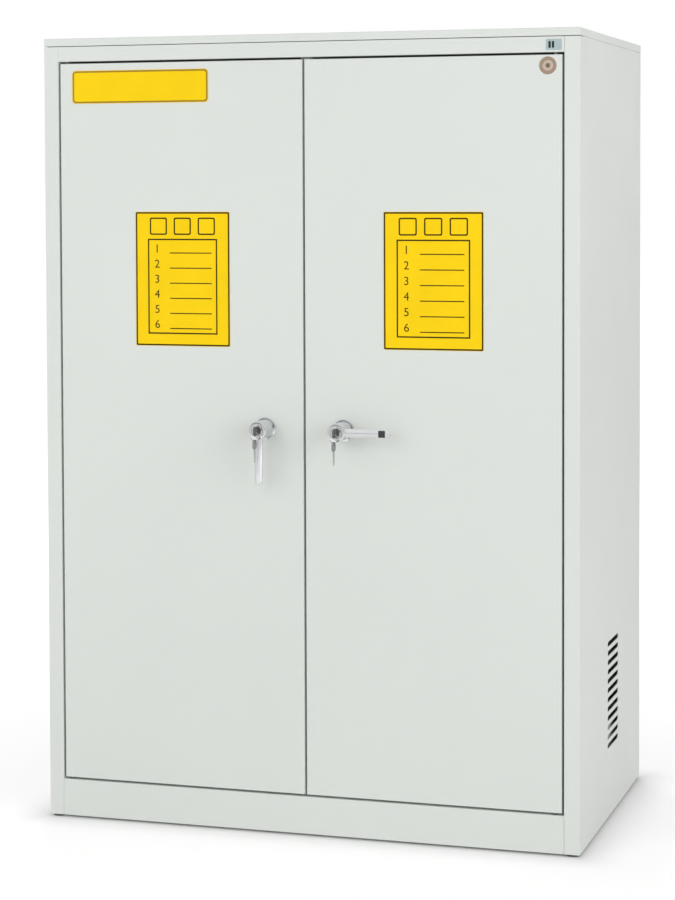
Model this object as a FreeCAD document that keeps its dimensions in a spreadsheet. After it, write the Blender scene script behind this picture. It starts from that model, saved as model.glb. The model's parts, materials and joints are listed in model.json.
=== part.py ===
import FreeCAD, Part
import math
import os
import Sketcher

# Chemical storage cabinet: a folded steel body with two hinged doors over two separate compartments.
# Millimetres. +X is to the right of someone facing the doors, the doors face -Y and +Z is up. The origin is
# on the floor, below the middle of everything that stands on it, keys included.

doc = FreeCAD.newDocument("chemical_storage_cabinet")
sheet_of_sizes = doc.addObject("Spreadsheet::Sheet", "sizes")
row_count = 0
cuts = []


class Size:
    """A number that remembers the cells it is worked out from."""

    def __init__(self, text, amount):
        self.text = text
        self.amount = amount

    def __add__(self, other):
        return Size("(%s + %s)" % (self.text, words(other)), self.amount + number(other))

    def __radd__(self, other):
        return Size("(%s + %s)" % (words(other), self.text), number(other) + self.amount)

    def __sub__(self, other):
        return Size("(%s - %s)" % (self.text, words(other)), self.amount - number(other))

    def __rsub__(self, other):
        return Size("(%s - %s)" % (words(other), self.text), number(other) - self.amount)

    def __mul__(self, other):
        return Size("(%s * %s)" % (self.text, words(other)), self.amount * number(other))

    def __rmul__(self, other):
        return Size("(%s * %s)" % (words(other), self.text), number(other) * self.amount)

    def __truediv__(self, other):
        return Size("(%s / %s)" % (self.text, words(other)), self.amount / number(other))

    def __neg__(self):
        return Size("(-1 * %s)" % self.text, -self.amount)


def number(size):
    return size.amount if isinstance(size, Size) else float(size)


def words(size):
    return size.text if isinstance(size, Size) else repr(float(size))


def cell(alias, amount, meaning):
    """Writes one driving dimension to the sheet and returns it as a size."""
    global row_count
    row_count += 1
    sheet_of_sizes.set("A%d" % row_count, meaning)
    sheet_of_sizes.set("B%d" % row_count, str(amount))
    sheet_of_sizes.setAlias("B%d" % row_count, alias)
    return Size("sizes." + alias, float(amount))


def bind(thing, path, size):
    thing.setExpression(path, words(size))


# Whole cabinet
cabinet_width = cell("cabinet_width", 1145, "outer width")
cabinet_depth = cell("cabinet_depth", 680, "outer depth without the handles")
cabinet_height = cell("cabinet_height", 1650, "floor to the top of the lid")
foot_gap = cell("foot_gap", 5, "floor to the underside of the body")
metal = cell("sheet_thickness", 1.2, "steel sheet")
bend = cell("bend_radius", 2, "outer radius of a fold that shows")
play = cell("seat_clearance", 0.3, "gap between pieces that move past each other")
running = cell("running_clearance", 0.08, "radial clearance of a shaft in its bearing")

# Body
lid_skirt = cell("lid_skirt", 16, "height of the lid's skirt")
lid_seam = cell("lid_seam", 1.5, "seam between the lid and the body")
stile_width = cell("stile_width", 32, "front stile folded from the side panel")
stile_return = cell("stile_return", 40, "depth of the stile's return beside the door")
rear_flange = cell("rear_flange", 25, "flange folded inwards at the back")
rail_height = cell("rail_height", 31, "face of the top rail")
plinth_height = cell("plinth_height", 77, "face of the plinth")
channel_depth = cell("channel_depth", 40, "flanges of the top rail and the plinth")
ceiling_drop = cell("ceiling_drop", 45, "top of the lid to the underside of the ceiling")
floor_flange = cell("floor_flange", 30, "down-turned edge of the floor")
rear_rail_depth = cell("rear_rail_depth", 30, "flanges of the rear base rail")
partition_thickness = cell("partition_thickness", 20, "wall between the two compartments")
post_depth = cell("post_depth", 20, "centre post, front to back")
post_setback = cell("post_setback", 2, "centre post behind the closed doors")
post_overlap = cell("post_overlap", 4, "partition inside the centre post")

# Ventilation slots of the side panels
vent_length = cell("vent_length", 117, "length of a slot along the depth")
vent_height = cell("vent_height", 10.5, "height of a slot")
vent_pitch = cell("vent_pitch", 19.7, "slot to slot")
vent_count = cell("vent_count", 12, "slots in a column")
vent_first = cell("vent_first", 156, "lowest slot above the floor")
vent_centre = cell("vent_centre", 357, "middle of the slots behind the front")

# Doors
door_gap = cell("door_gap", 4.5, "gap beside, above and below a door")
middle_gap = cell("middle_gap", 4.5, "gap between the doors")
door_depth = cell("door_depth", 22, "depth of the door pan")
door_lip = cell("door_lip", 12, "lip folded inwards round the back of the pan")
pivot_inset = cell("pivot_inset", 14, "pivot axis from the door's side edge")
pivot_setback = cell("pivot_setback", 8, "pivot axis behind the door's face")
pin_radius = cell("pin_radius", 4, "pivot pin")
pin_reach = cell("pin_reach", 14, "pivot pin beyond the edge of the door")
pivot_block_width = cell("pivot_block_width", 20, "block that holds the pivot pin, along the door")
pivot_block_depth = cell("pivot_block_depth", 12, "block that holds the pivot pin, front to back")
pivot_block_height = cell("pivot_block_height", 14, "block that holds the pivot pin")
pin_hole_gap = cell("pin_hole_gap", 0.8, "radial gap of a pivot pin in the hole of the rail or plinth")
bearing_side = cell("bearing_side", 20, "square nylon bearing block of a pivot")
bearing_floor = cell("bearing_floor", 4, "end of a bearing block beyond the pin's tip")
stiffener_width = cell("stiffener_width", 60, "crown of the door's hat section")
stiffener_foot = cell("stiffener_foot", 15, "welding flange of the hat section")
stiffener_depth = cell("stiffener_depth", 17, "depth of the hat section")
stiffener_slope = cell("stiffener_slope", 6, "sideways run of the hat section's legs")
stiffener_end_gap = cell("stiffener_end_gap", 40, "door edge to the end of the hat section")
bumper_width = cell("bumper_width", 6, "rubber bumper across")
bumper_height = cell("bumper_height", 24, "rubber bumper along the post")
bumper_inset = cell("bumper_inset", 7.5, "bumper from the middle of the cabinet")
bumper_end_gap = cell("bumper_end_gap", 120, "top and bottom bumpers from the ends of the post")

# Locks
handle_offset = cell("handle_offset", 84, "handle axis from the middle of the cabinet")
handle_height = cell("handle_height", 841.5, "handle axis above the floor")
spindle_side = cell("spindle_side", 8, "square spindle")
spindle_hole = cell("spindle_hole", 15, "square hole in the door's face and lock case for the spindle")
rod_width = cell("rod_width", 8, "square lock rod")
rod_plane = cell("rod_plane", 11, "middle of the rods behind the door's face")
rod_tip_gap = cell("rod_tip_gap", 1, "drawn rod's tip inside the edge of the door")
gear_module = cell("gear_module", 1.6, "module of the pinion and the racks")
pinion_teeth = cell("pinion_teeth", 12, "teeth of the pinion")
tooth_backlash = cell("tooth_backlash", 0.15, "play at each flank")
gear_width = cell("gear_width", 8, "pinion, racks and rods, front to back")
rack_back = cell("rack_back", 4.5, "rack behind its teeth")
rack_shoulder = cell("rack_shoulder", 12, "plain end of a rack where its rod starts")
case_width = cell("case_width", 38, "lock case")
case_height = cell("case_height", 60, "lock case")
case_depth = cell("case_depth", 18.6, "lock case")
case_wall = cell("case_wall", 1.5, "lock case sheet")
strap_height = cell("strap_height", 16, "strap that carries the end of the spindle")
guide_width = cell("guide_width", 16, "rod guide across")
guide_height = cell("guide_height", 8, "rod guide along the rod")
guide_depth = cell("guide_depth", 17, "rod guide from the door's face")
guide_distance = cell("guide_distance", 120, "rod guides from the handle and from the door's ends")
keeper_gap = cell("keeper_gap", 0.6, "gap round a rod in its holes in the door, rail and plinth")

# Handles and keys
rosette_radius = cell("rosette_radius", 23, "plate under a handle")
rosette_thickness = cell("rosette_thickness", 4, "plate under a handle")
hub_radius = cell("hub_radius", 19, "handle hub")
hub_length = cell("hub_length", 50, "handle hub")
lever_length = cell("lever_length", 112, "handle axis to the end of the lever")
lever_root_width = cell("lever_root_width", 18, "lever at the hub")
lever_end_width = cell("lever_end_width", 16, "lever at its end")
lever_thickness = cell("lever_thickness", 9, "lever at its ridge")
lever_edge = cell("lever_edge", 5, "lever at its sides")
lever_drop = cell("lever_drop", 3, "ridge of the lever behind the hub's face")
lever_corner = cell("lever_corner", 6, "rounding of the lever's end")
barrel_radius = cell("barrel_radius", 9, "lock barrel")
barrel_length = cell("barrel_length", 32, "lock barrel")
plug_radius = cell("plug_radius", 6, "turning plug of the lock barrel")
key_thickness = cell("key_thickness", 2.2, "key")
blade_width = cell("blade_width", 8, "key blade")
blade_length = cell("blade_length", 28, "key blade")
bow_radius = cell("bow_radius", 10, "key bow")
bow_hole_radius = cell("bow_hole_radius", 3, "hole in the key bow")
bow_hole_shift = cell("bow_hole_shift", 5, "hole from the middle of the bow")
notch_depth = cell("notch_depth", 2, "notches of the key blade")
notch_pitch = cell("notch_pitch", 4.5, "notch to notch")
notch_count = cell("notch_count", 4, "notches of the key blade")
ring_radius = cell("ring_radius", 9, "key ring, to the middle of its wire")
ring_wire = cell("ring_wire", 0.8, "half the thickness of the key ring's square wire")

# Inside
upright_width = cell("upright_width", 25, "perforated upright")
upright_depth = cell("upright_depth", 12, "perforated upright")
upright_front = cell("upright_front", 140, "front uprights behind the cabinet's front")
upright_rear = cell("upright_rear", 90, "rear uprights before the cabinet's back")
upright_slot_width = cell("upright_slot_width", 4, "slot of an upright")
upright_slot_height = cell("upright_slot_height", 10, "slot of an upright")
upright_slot_first = cell("upright_slot_first", 60, "lowest slot above the cabinet's floor")
upright_slot_count = cell("upright_slot_count", 8, "slots of an upright")
clip_reach = cell("clip_reach", 14, "shelf clip out from its upright")
clip_height = cell("clip_height", 12, "shelf clip")
clip_thickness = cell("clip_thickness", 3, "shelf clip")
clip_tongue = cell("clip_tongue", 3, "shelf clip inside its slot")
shelf_side_gap = cell("shelf_side_gap", 3, "shelf to the uprights")
shelf_front_gap = cell("shelf_front_gap", 60, "shelf behind the cabinet's front")
shelf_rear_gap = cell("shelf_rear_gap", 26, "shelf before the back panel")
shelf_rim = cell("shelf_rim", 35, "height of a tray shelf")
shelf_first_slot = cell("shelf_first_slot", 2, "slot of the lowest shelf, counted from 0")
shelf_slot_step = cell("shelf_slot_step", 2, "slots from shelf to shelf")
sump_rim = cell("sump_rim", 100, "height of a sump tray")

# Feet
foot_inset = cell("foot_inset", 16, "front foot from the side and the front")
foot_rear_inset = cell("foot_rear_inset", 20, "rear foot from the back")
foot_pad_radius = cell("foot_pad_radius", 13, "foot pad")
foot_pad_height = cell("foot_pad_height", 3.5, "foot pad")
foot_stem_radius = cell("foot_stem_radius", 5, "threaded stem of a foot")
foot_stem_length = cell("foot_stem_length", 45, "threaded stem of a foot")

# Places worked out from the sizes above
hub_face = rosette_thickness + play + hub_length
ring_plane = hub_face + 2 * bow_radius - (bow_radius - bow_hole_shift)
reach = ring_plane + bow_radius
half_width = cabinet_width / 2
front = -(cabinet_depth - reach) / 2
back = front + cabinet_depth
side_height = cabinet_height - foot_gap - lid_skirt - lid_seam
rail_bottom = foot_gap + side_height - rail_height
plinth_top = foot_gap + plinth_height
opening_half = half_width - stile_width
ceiling = cabinet_height - ceiling_drop
upright_slot_pitch = (ceiling - plinth_top) / upright_slot_count
inner_back = back - 2 * metal
door_width = (2 * opening_half - 2 * door_gap - middle_gap) / 2
door_bottom = plinth_top + door_gap
door_height = rail_bottom - door_gap - door_bottom
door_top = door_bottom + door_height
pivot_across = opening_half - door_gap - pivot_inset
pivot_depth = front + pivot_setback
rod_depth = front + rod_plane
post_front = front + door_depth + post_setback
partition_front = post_front + post_depth - post_overlap
pitch_radius = gear_module * pinion_teeth / 2
ADDENDUM = 0.8
DEDENDUM = 1.05
PI = 3.14159265
OCTAGON_CUT = 0.293
BEARING_SHARE = 0.6
TAN_PRESSURE = 0.364
TIP_NARROWING = 0.36
FOOT_WIDENING = 1.1
FOOT_DROP = 0.35
RACK_TEETH_BELOW = 5
RACK_TEETH_ABOVE = 2
SHELF_LEVELS = ("lower", "middle", "upper")
ROUND_SIDES = 24
STEM_SIDES = 12
BOW_SIDES = 16
CORNER_OF_SQUARE = 1.5
tooth_half = gear_module * (PI / 4) - tooth_backlash
rack_pitch_line = pitch_radius + tooth_backlash
rack_root_line = rack_pitch_line + gear_module * DEDENDUM
rod_offset = rack_root_line + rack_back - rod_width / 2
SIDES = {"left": -1, "right": 1}
LEVER_AT_REST = {"left": 0, "right": -90}


def new_body(label, across=0, along=0, up=0):
    body = doc.addObject("PartDesign::Body", label)
    body.Label = label
    place(body, across, along, up)
    return body


def place(thing, across=0, along=0, up=0, axis=None, angle=0):
    if axis is not None:
        turn = FreeCAD.Rotation(FreeCAD.Vector(*axis), angle)
        thing.Placement = FreeCAD.Placement(FreeCAD.Vector(0, 0, 0), turn)
    bind(thing, "Placement.Base.x", across)
    bind(thing, "Placement.Base.y", along)
    bind(thing, "Placement.Base.z", up)


def origin_feature(body, role):
    return [feature for feature in body.Origin.OriginFeatures if feature.Role == role][0]


def new_sketch(body, name, plane, lift=0):
    """A sketch parallel to one of the body's planes. XZ_Plane's own direction is -Y."""
    sketch = body.newObject("Sketcher::SketchObject", body.Label + "_" + name)
    sketch.AttachmentSupport = (origin_feature(body, plane), [""])
    sketch.MapMode = "FlatFace"
    bind(sketch, "AttachmentOffset.Base.z", lift)
    return sketch


def hold(sketch, edge, end, across, up):
    """Binds a sketch point's distances from the sketch's origin."""
    for kind, size in (("DistanceX", across), ("DistanceY", up)):
        index = sketch.addConstraint(Sketcher.Constraint(kind, -1, 1, edge, end, number(size)))
        bind(sketch, "Constraints[%d]" % index, size)


def point(across, up):
    return FreeCAD.Vector(number(across), number(up), 0)


def draw_outline(sketch, corners):
    first = sketch.GeometryCount
    count = len(corners)
    edges = []
    for i in range(count):
        edges.append(Part.LineSegment(point(*corners[i]), point(*corners[(i + 1) % count])))
    sketch.addGeometry(edges, False)
    joins = []
    for i in range(count):
        joins.append(Sketcher.Constraint("Coincident", first + i, 2, first + (i + 1) % count, 1))
    sketch.addConstraint(joins)
    for i, corner in enumerate(corners):
        hold(sketch, first + i, 1, *corner)


def draw_rectangle(sketch, left, low, right, high):
    draw_outline(sketch, [(left, low), (right, low), (right, high), (left, high)])


def draw_circle(sketch, across, up, radius):
    edge = sketch.addGeometry(Part.Circle(point(across, up), FreeCAD.Vector(0, 0, 1), number(radius)), False)
    hold(sketch, edge, 3, across, up)
    index = sketch.addConstraint(Sketcher.Constraint("Radius", edge, number(radius)))
    bind(sketch, "Constraints[%d]" % index, radius)


def draw_round(sketch, across, up, radius, sides=ROUND_SIDES):
    """A round outline with narrow flats, for small pieces that repeat and need few faces."""
    corners = []
    for i in range(sides):
        turn = 2 * PI * (i + 0.5) / sides
        corners.append((across + radius * math.cos(turn), up + radius * math.sin(turn)))
    draw_outline(sketch, corners)


def draw_square(sketch, across, up, beside, above):
    """An oblong by its middle and its reach from there."""
    draw_rectangle(sketch, across - beside, up - above, across + beside, up + above)


def draw_slot(sketch, across, up, length, width):
    """A level slot by its middle, overall length and width, with ends cut like a half octagon."""
    end = length / 2
    half = width / 2
    cut = width * OCTAGON_CUT
    draw_outline(sketch, [(across - end + cut, up - half), (across + end - cut, up - half),
                          (across + end, up - half + cut), (across + end, up + half - cut),
                          (across + end - cut, up + half), (across - end + cut, up + half),
                          (across - end, up + half - cut), (across - end, up - half + cut)])


def pad(body, sketch, length, backwards=False):
    feature = body.newObject("PartDesign::Pad", sketch.Name + "_pad")
    feature.Profile = sketch
    feature.Reversed = backwards
    bind(feature, "Length", length)
    sketch.Visibility = False
    return feature


def middle_pad(body, sketch, length):
    feature = pad(body, sketch, length)
    feature.SideType = "Symmetric"
    return feature


def pocket(body, sketch, length, backwards=False):
    """Cuts against the sketch's own direction, or along it when backwards."""
    before = body.Tip
    feature = body.newObject("PartDesign::Pocket", sketch.Name + "_cut")
    feature.Profile = sketch
    feature.Reversed = backwards
    bind(feature, "Length", length)
    cuts.append((before, feature))
    return feature


def through_cut(body, sketch, length):
    feature = pocket(body, sketch, length)
    feature.SideType = "Symmetric"
    return feature


def revolve(body, sketch):
    """Turns a profile about the sketch's upright axis."""
    feature = body.newObject("PartDesign::Revolution", sketch.Name + "_turned")
    feature.Profile = sketch
    feature.ReferenceAxis = (sketch, ["V_Axis"])
    feature.Angle = 360
    return feature


def repeat(body, feature, role, length, count):
    pattern = body.newObject("PartDesign::LinearPattern", feature.Name + "_row")
    pattern.Originals = [feature]
    pattern.Direction = (origin_feature(body, role), [""])
    bind(pattern, "Length", length)
    bind(pattern, "Occurrences", count)
    body.Tip = pattern
    return pattern


def round_edges(body, radius, chosen):
    """Rounds the edges of the body so far that the test picks by their direction and middle point."""
    doc.recompute()
    base = body.Tip
    names = []
    for i, edge in enumerate(base.Shape.Edges):
        if isinstance(edge.Curve, Part.Line):
            middle = edge.valueAt((edge.FirstParameter + edge.LastParameter) / 2)
            if chosen(edge.Curve.Direction, middle):
                names.append("Edge%d" % (i + 1))
    feature = body.newObject("PartDesign::Fillet", body.Label + "_rounding_%d" % len(body.Group))
    feature.Base = (base, names)
    bind(feature, "Radius", radius)
    body.Tip = feature
    return feature


def near(first, second):
    return abs(first - number(second)) < 0.01


def copies(label, master, places):
    """One sub-part made of identical solids: each place is across, along, up and maybe a turn."""
    links = []
    for i, spot in enumerate(places):
        link = doc.addObject("App::Link", "%s_copy_%d" % (label, i + 1))
        link.LinkedObject = master
        place(link, *spot)
        links.append(link)
    group = doc.addObject("Part::Compound", label)
    group.Label = label
    group.Links = links
    return group


parts = []


def keep(thing):
    parts.append(thing)
    return thing


def side_panel(name, side):
    """Wall, front stile with its return, rear flange and base flange, folded from one sheet."""
    body = new_body("side_panel_" + name, side * half_width, front, foot_gap)
    inward = -side
    plan = new_sketch(body, "plan", "XY_Plane")
    draw_outline(plan, [(0, 0),
                        (inward * stile_width, 0),
                        (inward * stile_width, stile_return),
                        (inward * (stile_width - metal), stile_return),
                        (inward * (stile_width - metal), metal),
                        (inward * metal, metal),
                        (inward * metal, cabinet_depth - metal),
                        (inward * rear_flange, cabinet_depth - metal),
                        (inward * rear_flange, cabinet_depth),
                        (0, cabinet_depth)])
    pad(body, plan, side_height)
    flange = new_sketch(body, "base_flange", "XY_Plane")
    draw_rectangle(flange, inward * metal / 2, metal / 2, inward * (stile_width - metal / 2),
                   cabinet_depth - metal / 2)
    pad(body, flange, metal)
    foot_holes = new_sketch(body, "foot_holes", "XY_Plane")
    for along in (foot_inset, cabinet_depth - foot_rear_inset):
        draw_circle(foot_holes, inward * foot_inset, along, foot_stem_radius + play)
    through_cut(body, foot_holes, 4 * metal)
    round_edges(body, bend, lambda way, at: abs(way.z) > 0.99 and (
        (near(at.x, 0) and (near(at.y, 0) or near(at.y, cabinet_depth)))
        or (near(at.x, inward * stile_width) and near(at.y, 0))))
    slot = new_sketch(body, "vent_slot", "YZ_Plane")
    draw_slot(slot, vent_centre, vent_first - foot_gap, vent_length, vent_height)
    first_slot = through_cut(body, slot, 4 * metal)
    repeat(body, first_slot, "Z_Axis", vent_pitch * (vent_count - 1), vent_count)
    return keep(body)


def back_panel():
    body = new_body("back_panel", 0, back - 2 * metal, foot_gap + metal)
    face = new_sketch(body, "face", "XZ_Plane")
    draw_rectangle(face, metal - half_width, 0, half_width - metal, side_height - metal)
    pad(body, face, metal, True)
    return keep(body)


def pan(label, across, along, up, width, depth, height, open_top):
    """A tray or a lid: a block of sheet steel with one broad side open."""
    body = new_body(label, across, along, up)
    outside = new_sketch(body, "outside", "XY_Plane")
    draw_rectangle(outside, -width / 2, 0, width / 2, depth)
    pad(body, outside, height)
    inside = new_sketch(body, "inside", "XY_Plane", metal if open_top else height - metal)
    draw_rectangle(inside, metal - width / 2, metal, width / 2 - metal, depth - metal)
    pocket(body, inside, height, open_top)
    return body


def roof_lid():
    """The lid lies flush with the walls, with a narrow seam under its skirt."""
    body = pan("roof_lid", 0, front, cabinet_height - lid_skirt, cabinet_width, cabinet_depth, lid_skirt,
               False)
    round_edges(body, bend, lambda way, at: near(at.z, lid_skirt))
    return keep(body)


def ceiling_panel():
    depth = inner_back - front - channel_depth
    return keep(pan("ceiling_panel", 0, front + channel_depth, ceiling, 2 * (half_width - metal), depth,
                    ceiling_drop - metal, True))


def floor_panel():
    depth = inner_back - front - channel_depth
    return keep(pan("floor_panel", 0, front + channel_depth, plinth_top - floor_flange,
                    2 * (half_width - metal), depth, floor_flange, False))


def channel(label, along, up, half_length, depth, height):
    """A level C section that is open to the back."""
    body = new_body(label, 0, along, up)
    profile = new_sketch(body, "profile", "YZ_Plane", -half_length)
    draw_outline(profile, [(0, 0), (depth, 0), (depth, metal), (metal, metal),
                           (metal, height - metal), (depth, height - metal), (depth, height), (0, height)])
    pad(body, profile, 2 * half_length)
    return body


def door_channel(label, up, height, flange_up):
    """Top rail or plinth: the pivot pins and the rods go through its flange beside the doors."""
    body = channel(label, front, up, opening_half, channel_depth, height)
    holes = new_sketch(body, "holes", "XY_Plane", flange_up)
    for side in SIDES.values():
        draw_circle(holes, side * pivot_across, pivot_setback, pin_radius + pin_hole_gap)
        rod_side = -1 if label == "top_rail" else 1
        draw_square(holes, side * handle_offset + rod_side * rod_offset, rod_plane,
                    rod_width / 2 + keeper_gap, gear_width / 2 + keeper_gap)
    through_cut(body, holes, 4 * metal)
    round_edges(body, bend, lambda way, at: abs(way.x) > 0.99 and near(at.y, 0) and near(at.z, flange_up))
    return keep(body)


def rear_base_rail():
    body = new_body("rear_base_rail", 0, inner_back - metal - rear_rail_depth, foot_gap + metal)
    height = plinth_height - 2 * metal
    profile = new_sketch(body, "profile", "YZ_Plane", stile_width - half_width)
    draw_outline(profile, [(0, 0), (rear_rail_depth, 0), (rear_rail_depth, height), (0, height),
                           (0, height - metal), (rear_rail_depth - metal, height - metal),
                           (rear_rail_depth - metal, metal), (0, metal)])
    pad(body, profile, 2 * (half_width - stile_width))
    return keep(body)


def centre_post():
    """A U section behind the gap between the doors, open to the back, over the partition's front edge."""
    body = new_body("centre_post", 0, post_front, plinth_top)
    inside = partition_thickness / 2
    plan = new_sketch(body, "plan", "XY_Plane")
    draw_outline(plan, [(-inside - metal, 0), (inside + metal, 0), (inside + metal, post_depth),
                        (inside, post_depth), (inside, metal), (-inside, metal), (-inside, post_depth),
                        (-inside - metal, post_depth)])
    pad(body, plan, rail_bottom - plinth_top)
    return keep(body)


def centre_partition():
    """A closed double wall, so that the compartments share no air."""
    body = new_body("centre_partition", 0, partition_front, plinth_top)
    half = partition_thickness / 2
    depth = inner_back - partition_front
    plan = new_sketch(body, "plan", "XY_Plane")
    draw_rectangle(plan, -half, 0, half, depth)
    draw_rectangle(plan, metal - half, metal, half - metal, depth - metal)
    pad(body, plan, ceiling - plinth_top)
    return keep(body)


def shelf_uprights():
    """Eight slotted C sections, two on each wall and two on each side of the partition."""
    master = new_body("upright_master")
    half = upright_width / 2
    plan = new_sketch(master, "plan", "XY_Plane")
    draw_outline(plan, [(0, -half), (upright_depth, -half), (upright_depth, half), (0, half),
                        (0, half - metal), (upright_depth - metal, half - metal),
                        (upright_depth - metal, metal - half), (0, metal - half)])
    pad(master, plan, ceiling - plinth_top)
    slot = new_sketch(master, "slot", "YZ_Plane", upright_depth)
    draw_rectangle(slot, -upright_slot_width / 2, upright_slot_first - upright_slot_height,
                   upright_slot_width / 2, upright_slot_first)
    first_slot = through_cut(master, slot, 3 * metal)
    repeat(master, first_slot, "Z_Axis", upright_slot_pitch * (upright_slot_count - 1), upright_slot_count)
    places = []
    for along in (front + upright_front, back - upright_rear):
        for across, turn in ((metal - half_width, 0), (-partition_thickness / 2, 180),
                             (partition_thickness / 2, 0), (half_width - metal, 180)):
            places.append((across, along, plinth_top, (0, 0, 1), turn))
    return keep(copies("shelf_uprights", master, places))


def shelf_height(level):
    slots_up = shelf_first_slot + level * shelf_slot_step
    return plinth_top + upright_slot_first + slots_up * upright_slot_pitch


def shelf_clips():
    """Gusset clips, four under each shelf, each with a tongue in a slot of its upright."""
    master = new_body("clip_master")
    side_view = new_sketch(master, "side_view", "XZ_Plane")
    tongue_top = -upright_slot_height / 5
    draw_outline(side_view, [(0, 0), (clip_reach, 0), (clip_reach, -clip_height / 4),
                             (clip_height / 4, -clip_height), (0, -clip_height),
                             (0, tongue_top - upright_slot_height / 2),
                             (-clip_tongue, tongue_top - upright_slot_height / 2),
                             (-clip_tongue, tongue_top), (0, tongue_top)])
    middle_pad(master, side_view, clip_thickness)
    wall_face = half_width - metal - upright_depth
    partition_face = partition_thickness / 2 + upright_depth
    places = []
    for level in range(len(SHELF_LEVELS)):
        for along in (front + upright_front, back - upright_rear):
            for across, turn in ((-wall_face, 0), (-partition_face, 180),
                                 (partition_face, 0), (wall_face, 180)):
                places.append((across, along, shelf_height(level), (0, 0, 1), turn))
    return keep(copies("shelf_clips", master, places))


def tray(label, side, up, rim):
    """A welded spill tray that fits between the uprights."""
    low = partition_thickness / 2 + upright_depth + shelf_side_gap
    high = half_width - metal - upright_depth - shelf_side_gap
    depth = cabinet_depth - 2 * metal - shelf_front_gap - shelf_rear_gap
    middle = side * (low + high) / 2
    return keep(pan(label, middle, front + shelf_front_gap, up, high - low, depth, rim, True))


def pivot_bearings():
    """Nylon blocks in the rail and the plinth. Each has a blind bore, and the lower pins stand in theirs."""
    master = new_body("bearing_master")
    half = bearing_side / 2
    bore_depth = pin_reach - door_gap - metal + play
    plan = new_sketch(master, "plan", "XY_Plane")
    draw_square(plan, 0, 0, half, half * BEARING_SHARE)
    pad(master, plan, bore_depth + bearing_floor)
    bore = new_sketch(master, "bore", "XY_Plane")
    draw_round(bore, 0, 0, pin_radius + 2 * running)
    pocket(master, bore, bore_depth, True)
    places = []
    for side in SIDES.values():
        places.append((side * pivot_across, pivot_depth, rail_bottom + metal))
        places.append((side * pivot_across, pivot_depth, plinth_top - metal, (1, 0, 0), 180))
    return keep(copies("pivot_bearings", master, places))


def cylinder(name, radius, length):
    shape = doc.addObject("Part::Cylinder", name)
    bind(shape, "Radius", radius)
    bind(shape, "Height", length)
    return shape


def door_bumpers():
    """Rubber strips on the centre post that the door lips close against."""
    master = doc.addObject("Part::Box", "bumper_master")
    bind(master, "Length", bumper_width)
    bind(master, "Width", post_setback - play)
    bind(master, "Height", bumper_height)
    middle = (plinth_top + rail_bottom) / 2
    places = []
    for side in SIDES.values():
        for up in (plinth_top + bumper_end_gap, middle, rail_bottom - bumper_end_gap):
            places.append((side * bumper_inset - bumper_width / 2, post_front - post_setback + play,
                           up - bumper_height / 2))
    return keep(copies("door_bumpers", master, places))


def foot_spots():
    spots = {}
    for name, side in SIDES.items():
        spots["front_" + name] = (side * (half_width - foot_inset), front + foot_inset)
        spots["rear_" + name] = (side * (half_width - foot_inset), back - foot_rear_inset)
    return spots


def levelling_foot(name, across, along):
    """A round pad on a stem."""
    body = new_body("foot_" + name, across, along, 0)
    disc = new_sketch(body, "disc", "XY_Plane")
    draw_round(disc, 0, 0, foot_pad_radius)
    pad(body, disc, foot_pad_height)
    stem = new_sketch(body, "stem", "XY_Plane", foot_pad_height)
    draw_round(stem, 0, 0, foot_stem_radius, STEM_SIDES)
    pad(body, stem, foot_stem_length - foot_pad_height)
    return keep(body)


def door_skin(name, side):
    """A pan folded from one sheet: face, four returns and a lip round the back. Its origin is on the pivot.
    """
    body = new_body(name + "_door_skin", side * pivot_across, pivot_depth, door_bottom)
    hinge_edge = side * pivot_inset
    free_edge = side * (pivot_inset - door_width)
    face = -pivot_setback
    rear = door_depth - pivot_setback
    plan = new_sketch(body, "plan", "XY_Plane")
    draw_rectangle(plan, free_edge, face, hinge_edge, rear)
    pad(body, plan, door_height)
    hollow = new_sketch(body, "hollow", "XZ_Plane", -rear)
    draw_rectangle(hollow, free_edge + side * metal, metal, hinge_edge - side * metal, door_height - metal)
    pocket(body, hollow, door_depth - metal, True)
    lip = new_sketch(body, "lip", "XZ_Plane", -rear)
    draw_rectangle(lip, free_edge + side * metal / 2, metal / 2, hinge_edge - side * metal / 2,
                   door_height - metal / 2)
    draw_rectangle(lip, free_edge + side * door_lip, door_lip, hinge_edge - side * door_lip,
                   door_height - door_lip)
    pad(body, lip, metal)
    handle_across = side * (handle_offset - pivot_across)
    face_hole = new_sketch(body, "face_hole", "XZ_Plane", -face)
    draw_square(face_hole, handle_across, handle_height - door_bottom, spindle_hole / 2, spindle_hole / 2)
    through_cut(body, face_hole, 4 * metal)
    for name_of_end, lift, rod_side in (("top", door_height, -1), ("bottom", 0, 1)):
        holes = new_sketch(body, name_of_end + "_holes", "XY_Plane", lift)
        draw_circle(holes, 0, 0, pin_radius + running)
        draw_square(holes, handle_across + rod_side * rod_offset, rod_plane - pivot_setback,
                    rod_width / 2 + keeper_gap, gear_width / 2 + keeper_gap)
        through_cut(body, holes, 3 * metal)
    round_edges(body, bend, lambda way, at: near(at.y, face) and (
        near(at.x, hinge_edge) or near(at.x, free_edge) or near(at.z, 0) or near(at.z, door_height)))
    return keep(body)


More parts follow.
